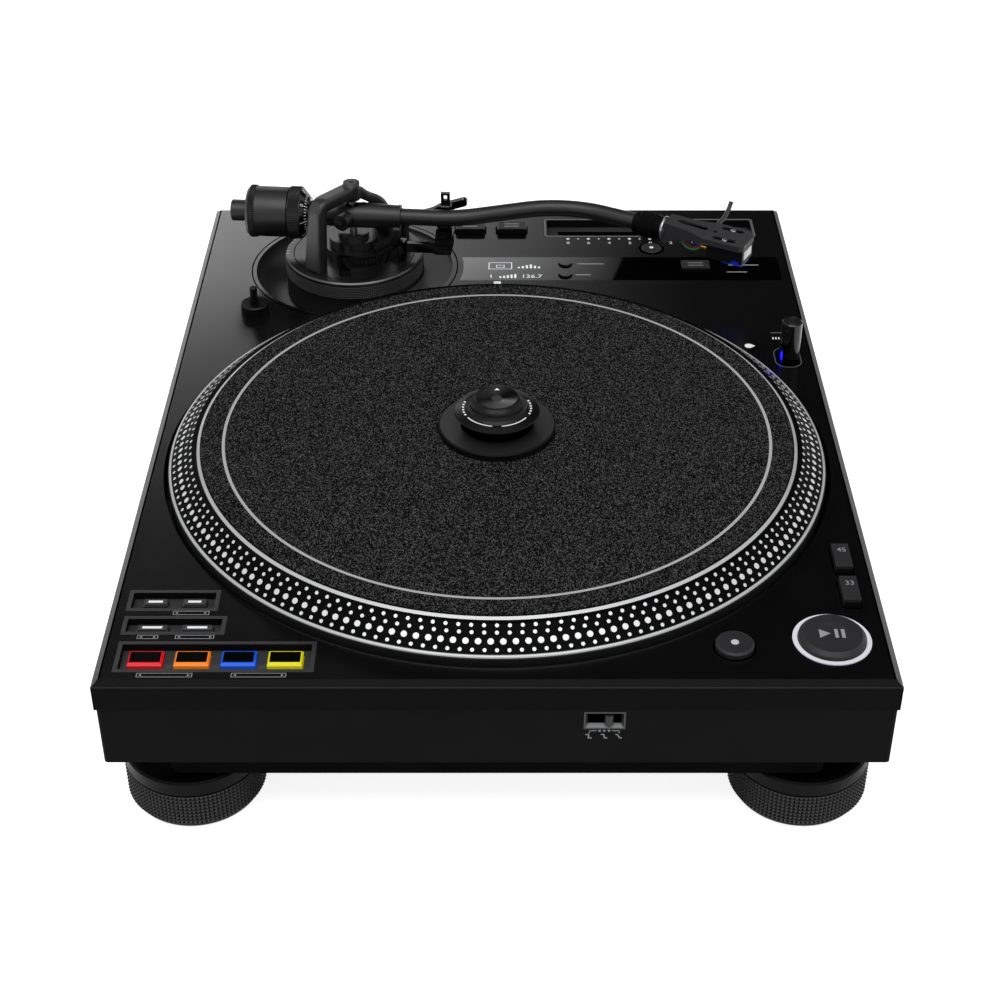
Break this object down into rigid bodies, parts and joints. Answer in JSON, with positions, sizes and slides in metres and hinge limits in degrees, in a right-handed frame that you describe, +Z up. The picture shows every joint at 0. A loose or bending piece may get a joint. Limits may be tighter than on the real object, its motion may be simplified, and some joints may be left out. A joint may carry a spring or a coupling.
{
  "type": "dj turntable",
  "caption": "Direct-drive disc player with an S-shaped tonearm, dotted platter, slipmat, tempo slider, pop-up lamp, start button and lit pads, on turned feet.",
  "frame": {"origin": "centre of the footprint on the floor, between the feet", "axes": "+X right as the picture shows it, +Y away from the viewer towards the tonearm, +Z up"},
  "size_m": [0.353, 0.453, 0.152],
  "materials": {
    "deck_lacquer": "satin black lacquer on a metal deck",
    "cabinet_black": "fine-grained black moulding",
    "base_black": "dull black moulding",
    "foot_black": "diamond-knurled black moulding",
    "tray_grey": "grained dark grey moulding",
    "button_black": "satin black button",
    "button_grey": "satin grey button",
    "display_gloss": "polished black window",
    "gloss_black": "polished black moulding",
    "light_ring": "milky light guide",
    "pad_red": "clear red skirt round a black cap",
    "pad_orange": "clear orange skirt round a black cap",
    "pad_blue": "clear blue skirt round a black cap",
    "pad_yellow": "clear yellow skirt round a black cap",
    "cast_aluminium": "turned casting with polished strobe dots",
    "mat_felt": "pressed black felt",
    "steel": "turned steel",
    "bearing_brass": "turned brass",
    "copper_coils": "enamelled copper winding",
    "board_green": "coated glass-fibre board",
    "arm_black": "gloss black lacquer on metal",
    "shell_black": "black anodised metal",
    "cartridge_black": "polished black moulding",
    "stylus_blue": "blue moulding",
    "lead_red": "thin insulated wire"
  },
  "bodies": {
    "chassis": {"top_panel": "deck_lacquer", "lower_cabinet": "cabinet_black", "base_plate": "base_black", "control_trays": "tray_grey", "display_window": "display_gloss", "start_ring": "light_ring", "headshell_stand": "gloss_black", "bearing_housing": "bearing_brass", "stator": "copper_coils", "circuit_boards": "board_green", "rear_sockets": "cabinet_black", "base_screws": "steel"},
    "platter": {"platter": "cast_aluminium", "rotor": "steel"},
    "slipmat": {"slipmat": "mat_felt", "clamp_base": "gloss_black"},
    "torque_dial": {"torque_dial": "gloss_black"},
    "arm_base": {"arm_base": "arm_black", "arm_arch": "arm_black", "arm_rest": "gloss_black"},
    "gimbal": {"gimbal": "steel"},
    "tonearm": {"arm_housing": "arm_black", "arm_tube": "arm_black", "headshell": "shell_black", "cartridge": "cartridge_black", "stylus": "stylus_blue", "cartridge_leads": "lead_red"},
    "tempo_knob": {"tempo_knob": "button_black"},
    "brake_knob": {"brake_knob": "button_black"},
    "target_lamp": {"target_lamp": "gloss_black"},
    "start_button": {"start_button": "button_black"},
    "motor_off_button": {"motor_off_button": "button_black"},
    "speed_33_button": {"speed_33_button": "button_black"},
    "speed_45_button": {"speed_45_button": "button_black"},
    "reset_button": {"reset_button": "button_black"},
    "needle_mode_button": {"needle_mode_button": "button_black"},
    "step_pitch_button": {"step_pitch_button": "button_black"},
    "tempo_range_button": {"tempo_range_button": "button_black"},
    "application_button": {"application_button": "button_black"},
    "deck_button": {"deck_button": "button_black"},
    "shift_button": {"shift_button": "button_grey"},
    "doubles_button": {"doubles_button": "button_grey"},
    "hot_cue_button": {"hot_cue_button": "button_grey"},
    "sampler_button": {"sampler_button": "button_grey"},
    "pad_1": {"pad_1": "pad_red"},
    "pad_2": {"pad_2": "pad_orange"},
    "pad_3": {"pad_3": "pad_blue"},
    "pad_4": {"pad_4": "pad_yellow"},
    "foot_front_left": {"foot_front_left": "foot_black"},
    "foot_front_right": {"foot_front_right": "foot_black"},
    "foot_rear_left": {"foot_rear_left": "foot_black"},
    "foot_rear_right": {"foot_rear_right": "foot_black"},
    "height_ring": {"height_ring": "arm_black"},
    "headshell_collar": {"headshell_collar": "shell_black"},
    "counterweight": {"counterweight": "arm_black"},
    "tracking_dial": {"tracking_dial": "gloss_black"},
    "anti_skate_dial": {"anti_skate_dial": "arm_black"},
    "lifter_bar": {"lifter_bar": "arm_black"},
    "cue_lever": {"cue_lever": "gloss_black"},
    "arm_clip": {"arm_clip": "gloss_black"}
  },
  "joints": [
    {"name": "platter_spin", "type": "hinge", "parent": "chassis", "child": "platter", "pos_m": [0, -0.0475, 0.097], "axis": [0, 0, 1], "continuous": true},
    {"name": "slipmat_slip", "type": "hinge", "parent": "platter", "child": "slipmat", "pos_m": [0, -0.0475, 0.097], "axis": [0, 0, 1], "continuous": true},
    {"name": "torque_set", "type": "hinge", "parent": "slipmat", "child": "torque_dial", "pos_m": [0, -0.0475, 0.097], "axis": [0, 0, 1], "range_deg": [0, 150]},
    {"name": "tempo_slide", "type": "slide", "parent": "chassis", "child": "tempo_knob", "axis": [1, 0, 0], "range_m": [-0.05, 0.05]},
    {"name": "brake_slide", "type": "slide", "parent": "chassis", "child": "brake_knob", "axis": [1, 0, 0], "range_m": [-0.007, 0.003]},
    {"name": "lamp_slide", "type": "slide", "parent": "chassis", "child": "target_lamp", "axis": [0, 0, 1], "range_m": [-0.023, 0]},
    {"name": "start_press", "type": "slide", "parent": "chassis", "child": "start_button", "axis": [0, 0, 1], "range_m": [-0.0012, 0], "stiffness_N_per_m": 800},
    {"name": "motor_off_press", "type": "slide", "parent": "chassis", "child": "motor_off_button", "axis": [0, 0, 1], "range_m": [-0.0012, 0], "stiffness_N_per_m": 800},
    {"name": "speed_33_press", "type": "slide", "parent": "chassis", "child": "speed_33_button", "axis": [0, 0, 1], "range_m": [-0.0012, 0], "stiffness_N_per_m": 800},
    {"name": "speed_45_press", "type": "slide", "parent": "chassis", "child": "speed_45_button", "axis": [0, 0, 1], "range_m": [-0.0012, 0], "stiffness_N_per_m": 800},
    {"name": "reset_press", "type": "slide", "parent": "chassis", "child": "reset_button", "axis": [0, 0, 1], "range_m": [-0.0012, 0], "stiffness_N_per_m": 800},
    {"name": "needle_mode_press", "type": "slide", "parent": "chassis", "child": "needle_mode_button", "axis": [0, 0, 1], "range_m": [-0.0012, 0], "stiffness_N_per_m": 800},
    {"name": "step_pitch_press", "type": "slide", "parent": "chassis", "child": "step_pitch_button", "axis": [0, 0, 1], "range_m": [-0.0012, 0], "stiffness_N_per_m": 800},
    {"name": "tempo_range_press", "type": "slide", "parent": "chassis", "child": "tempo_range_button", "axis": [0, 0, 1], "range_m": [-0.0012, 0], "stiffness_N_per_m": 800},
    {"name": "application_press", "type": "slide", "parent": "chassis", "child": "application_button", "axis": [0, 0, 1], "range_m": [-0.0012, 0], "stiffness_N_per_m": 800},
    {"name": "deck_press", "type": "slide", "parent": "chassis", "child": "deck_button", "axis": [0, 0, 1], "range_m": [-0.0012, 0], "stiffness_N_per_m": 800},
    {"name": "shift_press", "type": "slide", "parent": "chassis", "child": "shift_button", "axis": [0, 0, 1], "range_m": [-0.0012, 0], "stiffness_N_per_m": 800},
    {"name": "doubles_press", "type": "slide", "parent": "chassis", "child": "doubles_button", "axis": [0, 0, 1], "range_m": [-0.0012, 0], "stiffness_N_per_m": 800},
    {"name": "hot_cue_press", "type": "slide", "parent": "chassis", "child": "hot_cue_button", "axis": [0, 0, 1], "range_m": [-0.0012, 0], "stiffness_N_per_m": 800},
    {"name": "sampler_press", "type": "slide", "parent": "chassis", "child": "sampler_button", "axis": [0, 0, 1], "range_m": [-0.0012, 0], "stiffness_N_per_m": 800},
    {"name": "pad_1_press", "type": "slide", "parent": "chassis", "child": "pad_1", "axis": [0, 0, 1], "range_m": [-0.0012, 0], "stiffness_N_per_m": 800},
    {"name": "pad_2_press", "type": "slide", "parent": "chassis", "child": "pad_2", "axis": [0, 0, 1], "range_m": [-0.0012, 0], "stiffness_N_per_m": 800},
    {"name": "pad_3_press", "type": "slide", "parent": "chassis", "child": "pad_3", "axis": [0, 0, 1], "range_m": [-0.0012, 0], "stiffness_N_per_m": 800},
    {"name": "pad_4_press", "type": "slide", "parent": "chassis", "child": "pad_4", "axis": [0, 0, 1], "range_m": [-0.0012, 0], "stiffness_N_per_m": 800},
    {"name": "foot_front_left_turn", "type": "hinge", "parent": "chassis", "child": "foot_front_left", "pos_m": [-0.143, -0.187, 0], "axis": [0, 0, 1], "range_deg": [0, 1080]},
    {"name": "foot_front_right_turn", "type": "hinge", "parent": "chassis", "child": "foot_front_right", "pos_m": [0.143, -0.187, 0], "axis": [0, 0, 1], "range_deg": [0, 1080]},
    {"name": "foot_rear_left_turn", "type": "hinge", "parent": "chassis", "child": "foot_rear_left", "pos_m": [-0.143, 0.187, 0], "axis": [0, 0, 1], "range_deg": [0, 1080]},
    {"name": "foot_rear_right_turn", "type": "hinge", "parent": "chassis", "child": "foot_rear_right", "pos_m": [0.143, 0.187, 0], "axis": [0, 0, 1], "range_deg": [0, 1080]},
    {"name": "height_ring_turn", "type": "hinge", "parent": "chassis", "child": "height_ring", "pos_m": [-0.0845, 0.15, 0.097], "axis": [0, 0, 1], "range_deg": [0, 300]},
    {"name": "arm_height", "type": "slide", "parent": "chassis", "child": "arm_base", "axis": [0, 0, 1], "range_m": [0, 0.006]},
    {"name": "arm_swing", "type": "hinge", "parent": "arm_base", "child": "gimbal", "pos_m": [-0.0845, 0.15, 0.1312], "axis": [0, 0, 1], "range_deg": [-46, 0]},
    {"name": "arm_tilt", "type": "hinge", "parent": "gimbal", "child": "tonearm", "pos_m": [-0.0845, 0.15, 0.1312], "axis": [-0.4772, -0.8788, 0], "range_deg": [-1, 3.6]},
    {"name": "collar_lock", "type": "hinge", "parent": "tonearm", "child": "headshell_collar", "pos_m": [0.07884, 0.14223, 0.1312], "axis": [0.8788, -0.4772, 0], "range_deg": [0, 90]},
    {"name": "counterweight_turn", "type": "hinge", "parent": "tonearm", "child": "counterweight", "pos_m": [-0.13232, 0.15418, 0.1312], "axis": [0.9962, -0.0872, 0], "range_deg": [-360, 720]},
    {"name": "tracking_dial_turn", "type": "hinge", "parent": "counterweight", "child": "tracking_dial", "pos_m": [-0.11737, 0.15288, 0.1312], "axis": [0.9962, -0.0872, 0], "continuous": true},
    {"name": "anti_skate_turn", "type": "hinge", "parent": "arm_base", "child": "anti_skate_dial", "pos_m": [-0.08919, 0.17659, 0.1075], "axis": [0, 0, 1], "range_deg": [0, 270]},
    {"name": "cue_lever_turn", "type": "hinge", "parent": "arm_base", "child": "cue_lever", "pos_m": [-0.05572, 0.16281, 0.1225], "axis": [0.0872, 0.9962, 0], "range_deg": [0, 34]},
    {"name": "lifter_drop", "type": "slide", "parent": "arm_base", "child": "lifter_bar", "axis": [0, 0, 1], "range_m": [-0.0045, 0]},
    {"name": "clip_turn", "type": "hinge", "parent": "arm_base", "child": "arm_clip", "pos_m": [-0.03051, 0.15331, 0.1342], "axis": [-0.9962, 0.0872, 0], "range_deg": [-80, 0]}
  ],
  "couplings": [
    {"joint": "height_ring_turn", "follows": "arm_height", "rad_per_m": 871.21},
    {"joint": "cue_lever_turn", "follows": "lifter_drop", "rad_per_m": -131.58}
  ]
}
